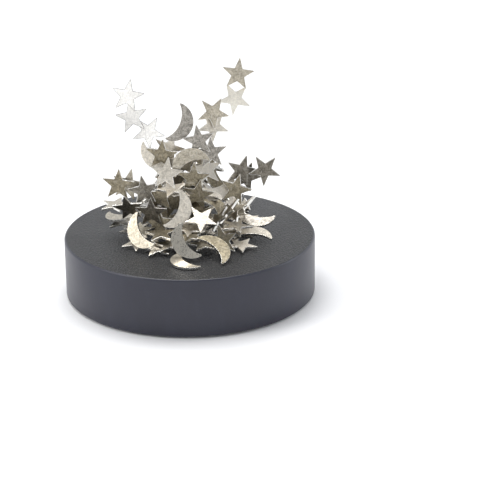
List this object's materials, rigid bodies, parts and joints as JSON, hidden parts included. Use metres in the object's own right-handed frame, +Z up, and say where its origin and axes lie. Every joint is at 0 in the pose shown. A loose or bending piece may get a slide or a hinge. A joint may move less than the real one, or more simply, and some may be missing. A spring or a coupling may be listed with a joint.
{
  "type": "magnetic desk sculpture",
  "caption": "Round magnetic base that holds a free-form heap of loose steel stars and crescent moons, with two arms that reach up and short side branches.",
  "frame": {"origin": "middle of the underside of the foot pad, on the axis of the round base", "axes": "+Z up, -Y to the front that the arms face, +X to the right"},
  "size_m": [0.11, 0.11, 0.1045],
  "materials": {
    "base_shell": "fine leather-grain black on top, smooth satin side",
    "inner_plastic": "plain moulded, satin",
    "foot_pad": "matt closed-cell foam",
    "cushion_foam": "open foam",
    "ferrite": "ground ferrite, dull grey-black",
    "keeper_steel": "zinc plated",
    "screw_steel": "zinc plated",
    "star_nickel": "tumbled satin nickel plate",
    "moon_nickel": "tumbled satin nickel plate"
  },
  "bodies": {
    "base": {"base_housing": "base_shell", "bottom_cover": "inner_plastic", "cover_screw_1": "screw_steel", "cover_screw_2": "screw_steel", "cover_screw_3": "screw_steel", "foot_pad": "foot_pad", "magnet_cushion": "cushion_foam", "magnet_keeper": "keeper_steel", "ring_magnet": "ferrite"},
    "core_moon": {"core_moon": "moon_nickel"},
    "core_star_1": {"core_star_1": "star_nickel"},
    "core_star_2": {"core_star_2": "star_nickel"},
    "core_star_3": {"core_star_3": "star_nickel"},
    "fan_star_1": {"fan_star_1": "star_nickel"},
    "fan_star_2": {"fan_star_2": "star_nickel"},
    "fan_star_3": {"fan_star_3": "star_nickel"},
    "fan_star_4": {"fan_star_4": "star_nickel"},
    "front_moon_1": {"front_moon_1": "moon_nickel"},
    "front_moon_2": {"front_moon_2": "moon_nickel"},
    "front_moon_3": {"front_moon_3": "moon_nickel"},
    "front_moon_4": {"front_moon_4": "moon_nickel"},
    "front_moon_5": {"front_moon_5": "moon_nickel"},
    "front_star_1": {"front_star_1": "star_nickel"},
    "front_star_2": {"front_star_2": "star_nickel"},
    "front_star_3": {"front_star_3": "star_nickel"},
    "front_star_4": {"front_star_4": "star_nickel"},
    "front_star_5": {"front_star_5": "star_nickel"},
    "front_star_6": {"front_star_6": "star_nickel"},
    "left_arm_moon": {"left_arm_moon": "moon_nickel"},
    "left_arm_star_1": {"left_arm_star_1": "star_nickel"},
    "left_arm_star_2": {"left_arm_star_2": "star_nickel"},
    "left_arm_star_3": {"left_arm_star_3": "star_nickel"},
    "left_branch_star_1": {"left_branch_star_1": "star_nickel"},
    "left_branch_star_2": {"left_branch_star_2": "star_nickel"},
    "left_branch_star_3": {"left_branch_star_3": "star_nickel"},
    "left_branch_star_4": {"left_branch_star_4": "star_nickel"},
    "left_foot_moon": {"left_foot_moon": "moon_nickel"},
    "middle_moon_1": {"middle_moon_1": "moon_nickel"},
    "middle_moon_2": {"middle_moon_2": "moon_nickel"},
    "middle_star_1": {"middle_star_1": "star_nickel"},
    "middle_star_2": {"middle_star_2": "star_nickel"},
    "right_arm_star_1": {"right_arm_star_1": "star_nickel"},
    "right_arm_star_2": {"right_arm_star_2": "star_nickel"},
    "right_arm_star_3": {"right_arm_star_3": "star_nickel"},
    "right_arm_star_4": {"right_arm_star_4": "star_nickel"},
    "right_arm_star_5": {"right_arm_star_5": "star_nickel"},
    "right_arm_star_6": {"right_arm_star_6": "star_nickel"},
    "right_branch_star_1": {"right_branch_star_1": "star_nickel"},
    "right_branch_star_2": {"right_branch_star_2": "star_nickel"},
    "right_branch_star_3": {"right_branch_star_3": "star_nickel"},
    "right_branch_star_4": {"right_branch_star_4": "star_nickel"},
    "right_foot_moon_1": {"right_foot_moon_1": "moon_nickel"},
    "right_foot_moon_2": {"right_foot_moon_2": "moon_nickel"},
    "upper_moon": {"upper_moon": "moon_nickel"},
    "upper_star_1": {"upper_star_1": "star_nickel"},
    "upper_star_2": {"upper_star_2": "star_nickel"},
    "upper_star_3": {"upper_star_3": "star_nickel"},
    "upper_star_4": {"upper_star_4": "star_nickel"},
    "upper_star_5": {"upper_star_5": "star_nickel"},
    "upper_star_6": {"upper_star_6": "star_nickel"}
  },
  "joints": [
    {"name": "pull_core_moon", "type": "slide", "parent": "base", "child": "core_moon", "axis": [0.25, 0.933, 0.2588], "range_m": [0, 0.012]},
    {"name": "pull_core_star_1", "type": "slide", "parent": "base", "child": "core_star_1", "axis": [-0.6124, -0.3536, 0.7071], "range_m": [0, 0.012]},
    {"name": "pull_core_star_2", "type": "slide", "parent": "base", "child": "core_star_2", "axis": [0.9659, 0, 0.2588], "range_m": [0, 0.012]},
    {"name": "pull_core_star_3", "type": "slide", "parent": "base", "child": "core_star_3", "axis": [-0.683, 0.683, 0.2588], "range_m": [0, 0.012]},
    {"name": "pull_fan_star_1", "type": "slide", "parent": "base", "child": "fan_star_1", "axis": [0.6124, -0.6124, 0.5], "range_m": [0, 0.012]},
    {"name": "pull_fan_star_2", "type": "slide", "parent": "base", "child": "fan_star_2", "axis": [0.8365, -0.483, 0.2588], "range_m": [0, 0.012]},
    {"name": "pull_fan_star_3", "type": "slide", "parent": "base", "child": "fan_star_3", "axis": [0.866, 0, 0.5], "range_m": [0, 0.012]},
    {"name": "pull_fan_star_4", "type": "slide", "parent": "base", "child": "fan_star_4", "axis": [0.6124, -0.3536, 0.7071], "range_m": [0, 0.012]},
    {"name": "pull_front_moon_1", "type": "slide", "parent": "base", "child": "front_moon_1", "axis": [-0.2241, -0.8365, 0.5], "range_m": [0, 0.012]},
    {"name": "pull_front_moon_2", "type": "slide", "parent": "base", "child": "front_moon_2", "axis": [-0.683, -0.683, 0.2588], "range_m": [0, 0.012]},
    {"name": "pull_front_moon_3", "type": "slide", "parent": "base", "child": "front_moon_3", "axis": [0, -0.9659, 0.2588], "range_m": [0, 0.012]},
    {"name": "pull_front_moon_4", "type": "slide", "parent": "base", "child": "front_moon_4", "axis": [0, -1, 0], "range_m": [0, 0.012]},
    {"name": "pull_front_moon_5", "type": "slide", "parent": "base", "child": "front_moon_5", "axis": [0.25, -0.933, 0.2588], "range_m": [0, 0.012]},
    {"name": "pull_front_star_1", "type": "slide", "parent": "base", "child": "front_star_1", "axis": [0.2241, -0.8365, 0.5], "range_m": [0, 0.012]},
    {"name": "pull_front_star_2", "type": "slide", "parent": "base", "child": "front_star_2", "axis": [-0.6124, 0.3536, 0.7071], "range_m": [0, 0.012]},
    {"name": "pull_front_star_3", "type": "slide", "parent": "base", "child": "front_star_3", "axis": [0.866, -0.5, 0], "range_m": [0, 0.012]},
    {"name": "pull_front_star_4", "type": "slide", "parent": "base", "child": "front_star_4", "axis": [-1, 0, 0], "range_m": [0, 0.012]},
    {"name": "pull_front_star_5", "type": "slide", "parent": "base", "child": "front_star_5", "axis": [0.9659, 0, 0.2588], "range_m": [0, 0.012]},
    {"name": "pull_front_star_6", "type": "slide", "parent": "base", "child": "front_star_6", "axis": [-1, 0, 0], "range_m": [0, 0.012]},
    {"name": "pull_left_arm_moon", "type": "slide", "parent": "middle_star_2", "child": "left_arm_moon", "axis": [-0.9659, 0, 0.2588], "range_m": [0, 0.012]},
    {"name": "pull_left_arm_star_1", "type": "slide", "parent": "left_arm_star_2", "child": "left_arm_star_1", "axis": [-0.933, 0.25, 0.2588], "range_m": [0, 0.012]},
    {"name": "pull_left_arm_star_2", "type": "slide", "parent": "left_arm_star_3", "child": "left_arm_star_2", "axis": [-0.933, 0.25, 0.2588], "range_m": [0, 0.012]},
    {"name": "pull_left_arm_star_3", "type": "slide", "parent": "left_arm_moon", "child": "left_arm_star_3", "axis": [-0.483, 0.1294, 0.866], "range_m": [0, 0.012]},
    {"name": "pull_left_branch_star_1", "type": "slide", "parent": "left_branch_star_3", "child": "left_branch_star_1", "axis": [-0.9659, 0, 0.2588], "range_m": [0, 0.012]},
    {"name": "pull_left_branch_star_2", "type": "slide", "parent": "base", "child": "left_branch_star_2", "axis": [-0.9659, 0, 0.2588], "range_m": [0, 0.012]},
    {"name": "pull_left_branch_star_3", "type": "slide", "parent": "base", "child": "left_branch_star_3", "axis": [-0.9659, 0, 0.2588], "range_m": [0, 0.012]},
    {"name": "pull_left_branch_star_4", "type": "slide", "parent": "base", "child": "left_branch_star_4", "axis": [-0.933, -0.25, 0.2588], "range_m": [0, 0.012]},
    {"name": "pull_left_foot_moon", "type": "slide", "parent": "base", "child": "left_foot_moon", "axis": [-1, 0, 0], "range_m": [0, 0.012]},
    {"name": "pull_middle_moon_1", "type": "slide", "parent": "right_arm_star_5", "child": "middle_moon_1", "axis": [-0.3536, 0.3536, 0.866], "range_m": [0, 0.012]},
    {"name": "pull_middle_moon_2", "type": "slide", "parent": "base", "child": "middle_moon_2", "axis": [0.483, 0.1294, 0.866], "range_m": [0, 0.012]},
    {"name": "pull_middle_star_1", "type": "slide", "parent": "base", "child": "middle_star_1", "axis": [-0.933, -0.25, 0.2588], "range_m": [0, 0.012]},
    {"name": "pull_middle_star_2", "type": "slide", "parent": "base", "child": "middle_star_2", "axis": [-0.8365, 0.483, 0.2588], "range_m": [0, 0.012]},
    {"name": "pull_right_arm_star_1", "type": "slide", "parent": "right_arm_star_2", "child": "right_arm_star_1", "axis": [0.933, 0.25, 0.2588], "range_m": [0, 0.012]},
    {"name": "pull_right_arm_star_2", "type": "slide", "parent": "right_arm_star_3", "child": "right_arm_star_2", "axis": [0.933, 0.25, 0.2588], "range_m": [0, 0.012]},
    {"name": "pull_right_arm_star_3", "type": "slide", "parent": "right_arm_star_4", "child": "right_arm_star_3", "axis": [0.933, 0.25, 0.2588], "range_m": [0, 0.012]},
    {"name": "pull_right_arm_star_4", "type": "slide", "parent": "right_arm_star_5", "child": "right_arm_star_4", "axis": [0.933, 0.25, 0.2588], "range_m": [0, 0.012]},
    {"name": "pull_right_arm_star_5", "type": "slide", "parent": "right_arm_star_6", "child": "right_arm_star_5", "axis": [0.9659, 0, 0.2588], "range_m": [0, 0.012]},
    {"name": "pull_right_arm_star_6", "type": "slide", "parent": "base", "child": "right_arm_star_6", "axis": [0.933, 0.25, 0.2588], "range_m": [0, 0.012]},
    {"name": "pull_right_branch_star_1", "type": "slide", "parent": "right_branch_star_3", "child": "right_branch_star_1", "axis": [0.9659, 0, 0.2588], "range_m": [0, 0.012]},
    {"name": "pull_right_branch_star_2", "type": "slide", "parent": "right_branch_star_1", "child": "right_branch_star_2", "axis": [0.9659, 0, 0.2588], "range_m": [0, 0.012]},
    {"name": "pull_right_branch_star_3", "type": "slide", "parent": "base", "child": "right_branch_star_3", "axis": [0.9659, 0, 0.2588], "range_m": [0, 0.012]},
    {"name": "pull_right_branch_star_4", "type": "slide", "parent": "base", "child": "right_branch_star_4", "axis": [0.8365, -0.2241, 0.5], "range_m": [0, 0.012]},
    {"name": "pull_right_foot_moon_1", "type": "slide", "parent": "base", "child": "right_foot_moon_1", "axis": [0.9659, 0, 0.2588], "range_m": [0, 0.012]},
    {"name": "pull_right_foot_moon_2", "type": "slide", "parent": "base", "child": "right_foot_moon_2", "axis": [0.8365, -0.483, 0.2588], "range_m": [0, 0.012]},
    {"name": "pull_upper_moon", "type": "slide", "parent": "base", "child": "upper_moon", "axis": [0.8365, 0.483, 0.2588], "range_m": [0, 0.012]},
    {"name": "pull_upper_star_1", "type": "slide", "parent": "base", "child": "upper_star_1", "axis": [-0.683, -0.683, 0.2588], "range_m": [0, 0.012]},
    {"name": "pull_upper_star_2", "type": "slide", "parent": "base", "child": "upper_star_2", "axis": [0, 0, 1], "range_m": [0, 0.012]},
    {"name": "pull_upper_star_3", "type": "slide", "parent": "base", "child": "upper_star_3", "axis": [0.433, -0.75, 0.5], "range_m": [0, 0.012]},
    {"name": "pull_upper_star_4", "type": "slide", "parent": "base", "child": "upper_star_4", "axis": [0.933, 0.25, 0.2588], "range_m": [0, 0.012]},
    {"name": "pull_upper_star_5", "type": "slide", "parent": "base", "child": "upper_star_5", "axis": [-0.5, 0, 0.866], "range_m": [0, 0.012]},
    {"name": "pull_upper_star_6", "type": "slide", "parent": "base", "child": "upper_star_6", "axis": [-1, 0, 0], "range_m": [0, 0.012]}
  ]
}
